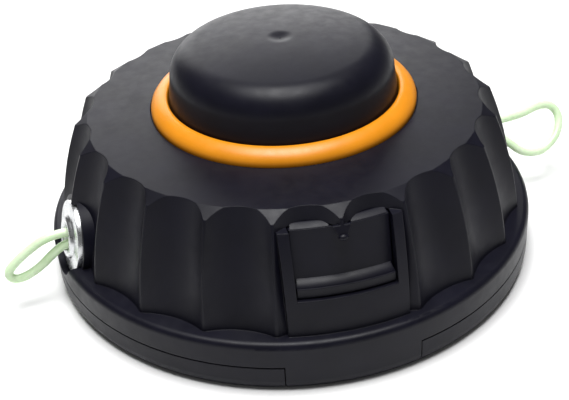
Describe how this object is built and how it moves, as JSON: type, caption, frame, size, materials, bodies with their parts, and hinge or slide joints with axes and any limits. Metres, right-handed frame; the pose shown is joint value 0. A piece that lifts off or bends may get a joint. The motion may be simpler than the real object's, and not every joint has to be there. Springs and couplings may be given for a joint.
{
  "type": "trimmer head",
  "caption": "Bump-feed line trimmer head with a fluted cover, a domed bump knob in a coloured guide ring, metal eyelets and line loops, standing on its drive side.",
  "frame": {"origin": "centre of the circle that the head stands on, at the lowest point of the rim", "axes": "+Z along the axis of rotation from the drive side to the bump knob, +X through the right eyelet"},
  "size_m": [0.1403, 0.11, 0.0517],
  "materials": {
    "nylon_charcoal": "moulded fine grain, satin",
    "nylon_knob": "moulded fine grain, satin",
    "ring_orange": "smooth",
    "eyelet_metal": "turned, bright",
    "steel": "zinc plated",
    "line_green": "smooth translucent nylon",
    "spool_nylon": "moulded",
    "washer_acetal": "smooth"
  },
  "bodies": {
    "housing": {"base_housing": "nylon_charcoal", "cover_shell": "nylon_charcoal", "drive_insert": "steel", "guide_ring": "ring_orange", "eyelet_left": "eyelet_metal", "eyelet_right": "eyelet_metal", "return_spring": "steel", "line_loop_left": "line_green", "line_loop_right": "line_green"},
    "press_carrier": {"thrust_washer": "washer_acetal"},
    "feed_spool": {"spool": "spool_nylon", "bump_knob": "nylon_knob", "line_winding_lower": "line_green", "line_winding_upper": "line_green"}
  },
  "joints": [
    {"name": "knob_press", "type": "slide", "parent": "housing", "child": "press_carrier", "axis": [0, 0, 1], "range_m": [-0.0045, 0], "stiffness_N_per_m": 2000, "springref_m": 0.004, "deforming": ["return_spring"]},
    {"name": "spool_turn", "type": "hinge", "parent": "press_carrier", "child": "feed_spool", "pos_m": [0, 0, 0.02], "axis": [0, 0, 1], "range_deg": [-5, 0]}
  ]
}
